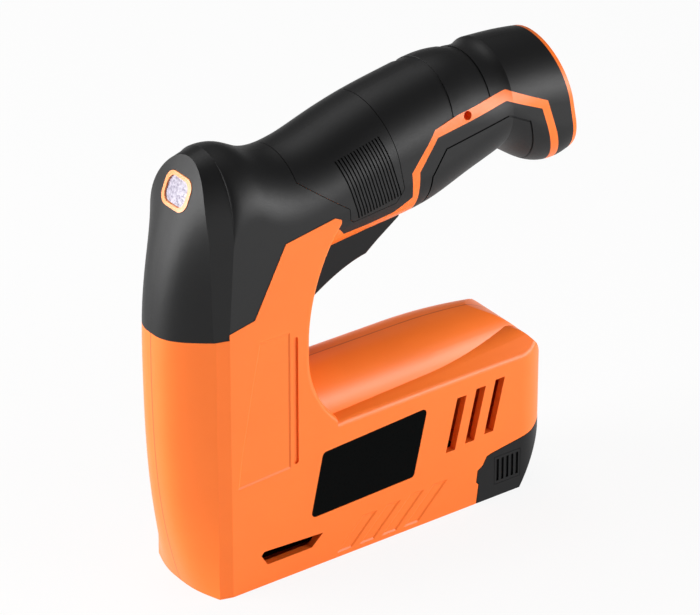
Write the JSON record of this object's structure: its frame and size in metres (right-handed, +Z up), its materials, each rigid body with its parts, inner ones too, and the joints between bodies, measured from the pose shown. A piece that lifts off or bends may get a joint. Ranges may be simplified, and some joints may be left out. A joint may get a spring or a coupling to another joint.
{
  "type": "cordless stapler",
  "caption": "C-shaped cordless stapler with a soft-grip handle, trigger, nose lamp, geared striker drive and a slide-out staple magazine with squeeze catches.",
  "frame": {"origin": "middle of the staple exit on the base plane, under the nose", "axes": "+X from the nose to the rear, +Z up from the base to the handle, -Y the tool's left side"},
  "size_m": [0.1826, 0.044, 0.1861],
  "materials": {
    "orange_abs": "moulded, fine satin grain",
    "soft_grip": "soft overmould, fine matt grain",
    "black_abs": "moulded, matt",
    "plate_black": "plain printed film, satin",
    "lamp_bezel": "moulded, gloss",
    "lamp_lens": "clear polycarbonate with a faceted back",
    "circuit_board": "lacquered glass fibre laminate",
    "switch_body": "moulded",
    "acetal": "moulded acetal",
    "cell_wrap": "shrink film",
    "steel": "zinc plated or bright steel",
    "hard_steel": "hardened, ground",
    "spring_steel": "spring wire",
    "die_cast": "die cast zinc alloy",
    "buffer": "moulded rubber",
    "bush_brass": "sintered",
    "motor_steel": "drawn steel, passivated",
    "ferrite": "sintered ferrite",
    "windings": "laminated steel with copper windings",
    "lead_wire": "insulated wire"
  },
  "bodies": {
    "housing": {"housing_left": "orange_abs", "housing_right": "orange_abs", "head_grip_left": "soft_grip", "head_grip_right": "soft_grip", "grip_saddle": "soft_grip", "lower_grip_left": "soft_grip", "lower_grip_right": "soft_grip", "handle_end_cap": "orange_abs", "end_pad": "soft_grip", "side_plate_left": "plate_black", "side_plate_right": "plate_black", "light_bezel": "lamp_bezel", "light_lens": "lamp_lens", "light_board": "circuit_board", "housing_screws": "steel", "trigger_switch": "switch_body", "battery_cell": "cell_wrap", "control_board": "circuit_board", "charge_socket": "steel", "nose_guide": "steel", "striker_base": "die_cast", "bumper": "buffer", "guide_rods": "steel", "spring_plate": "steel", "shaft_bracket": "steel", "shaft_bush": "bush_brass", "gear_ring": "acetal", "motor_can": "motor_steel", "motor_magnets": "ferrite", "motor_bell": "switch_body", "motor_leads": "lead_wire", "staple_channel": "steel", "drive_spring": "spring_steel", "trigger_spring": "spring_steel"},
    "trigger": {"trigger": "black_abs", "switch_plunger": "acetal"},
    "rotor": {"motor_rotor": "windings"},
    "mid_carrier": {"mid_carrier": "hard_steel"},
    "output": {"output_shaft": "hard_steel", "lift_gear": "hard_steel"},
    "planet_mid_1": {"planet_mid_1": "hard_steel"},
    "planet_mid_2": {"planet_mid_2": "hard_steel"},
    "planet_mid_3": {"planet_mid_3": "hard_steel"},
    "planet_out_1": {"planet_out_1": "hard_steel"},
    "planet_out_2": {"planet_out_2": "hard_steel"},
    "planet_out_3": {"planet_out_3": "hard_steel"},
    "striker": {"hammer": "die_cast", "striker_blade": "hard_steel", "blade_pin": "hard_steel"},
    "magazine": {"magazine_rail": "steel", "magazine_cap": "black_abs", "pusher_rod": "steel", "pusher_spring": "spring_steel", "catch_spring_left": "spring_steel", "catch_spring_right": "spring_steel"},
    "pusher": {"pusher": "acetal"},
    "catch_left": {"catch_left": "black_abs"},
    "catch_right": {"catch_right": "black_abs"}
  },
  "joints": [
    {"name": "trigger_pull", "type": "slide", "parent": "housing", "child": "trigger", "axis": [0, 0, 1], "range_m": [0, 0.006], "stiffness_N_per_m": 600, "springref_m": -0.004, "deforming": ["trigger_spring"]},
    {"name": "rotor_spin", "type": "hinge", "parent": "housing", "child": "rotor", "pos_m": [0.085, 0, 0.0595], "axis": [1, 0, 0], "range_deg": [0, 2089.4]},
    {"name": "mid_carrier_spin", "type": "hinge", "parent": "housing", "child": "mid_carrier", "pos_m": [0.0575, 0, 0.0595], "axis": [1, 0, 0], "range_deg": [0, 464.3]},
    {"name": "output_spin", "type": "hinge", "parent": "housing", "child": "output", "pos_m": [0.03, 0, 0.0595], "axis": [1, 0, 0], "range_deg": [0, 103.3]},
    {"name": "planet_mid_1_spin", "type": "hinge", "parent": "mid_carrier", "child": "planet_mid_1", "pos_m": [0.063, 0.00769, 0.0595], "axis": [1, 0, 0], "range_deg": [-1300.5, 0]},
    {"name": "planet_mid_2_spin", "type": "hinge", "parent": "mid_carrier", "child": "planet_mid_2", "pos_m": [0.063, -0.00385, 0.06616], "axis": [1, 0, 0], "range_deg": [-1300.5, 0]},
    {"name": "planet_mid_3_spin", "type": "hinge", "parent": "mid_carrier", "child": "planet_mid_3", "pos_m": [0.063, -0.00385, 0.05284], "axis": [1, 0, 0], "range_deg": [-1300.5, 0]},
    {"name": "planet_out_1_spin", "type": "hinge", "parent": "output", "child": "planet_out_1", "pos_m": [0.052, 0.00769, 0.0595], "axis": [1, 0, 0], "range_deg": [-289, 0]},
    {"name": "planet_out_2_spin", "type": "hinge", "parent": "output", "child": "planet_out_2", "pos_m": [0.052, -0.00385, 0.06616], "axis": [1, 0, 0], "range_deg": [-289, 0]},
    {"name": "planet_out_3_spin", "type": "hinge", "parent": "output", "child": "planet_out_3", "pos_m": [0.052, -0.00385, 0.05284], "axis": [1, 0, 0], "range_deg": [-289, 0]},
    {"name": "striker_lift", "type": "slide", "parent": "housing", "child": "striker", "axis": [0, 0, 1], "range_m": [0, 0.018], "stiffness_N_per_m": 1500, "springref_m": -0.02, "deforming": ["drive_spring"]},
    {"name": "magazine_slide", "type": "slide", "parent": "housing", "child": "magazine", "axis": [1, 0, 0], "range_m": [0, 0.1]},
    {"name": "pusher_slide", "type": "slide", "parent": "magazine", "child": "pusher", "axis": [1, 0, 0], "range_m": [0, 0.08], "stiffness_N_per_m": 40, "springref_m": -0.06, "deforming": ["pusher_spring"]},
    {"name": "catch_left_press", "type": "slide", "parent": "magazine", "child": "catch_left", "axis": [0, 1, 0], "range_m": [0, 0.0015], "stiffness_N_per_m": 2000, "springref_m": -0.001, "deforming": ["catch_spring_left"]},
    {"name": "catch_right_press", "type": "slide", "parent": "magazine", "child": "catch_right", "axis": [0, -1, 0], "range_m": [0, 0.0015], "stiffness_N_per_m": 2000, "springref_m": -0.001, "deforming": ["catch_spring_right"]}
  ],
  "couplings": [
    {"joint": "output_spin", "follows": "striker_lift", "rad_per_m": 100},
    {"joint": "mid_carrier_spin", "follows": "striker_lift", "rad_per_m": 450},
    {"joint": "rotor_spin", "follows": "striker_lift", "rad_per_m": 2025},
    {"joint": "planet_mid_1_spin", "follows": "striker_lift", "rad_per_m": -1260},
    {"joint": "planet_mid_2_spin", "follows": "striker_lift", "rad_per_m": -1260},
    {"joint": "planet_mid_3_spin", "follows": "striker_lift", "rad_per_m": -1260},
    {"joint": "planet_out_1_spin", "follows": "striker_lift", "rad_per_m": -280},
    {"joint": "planet_out_2_spin", "follows": "striker_lift", "rad_per_m": -280},
    {"joint": "planet_out_3_spin", "follows": "striker_lift", "rad_per_m": -280}
  ]
}
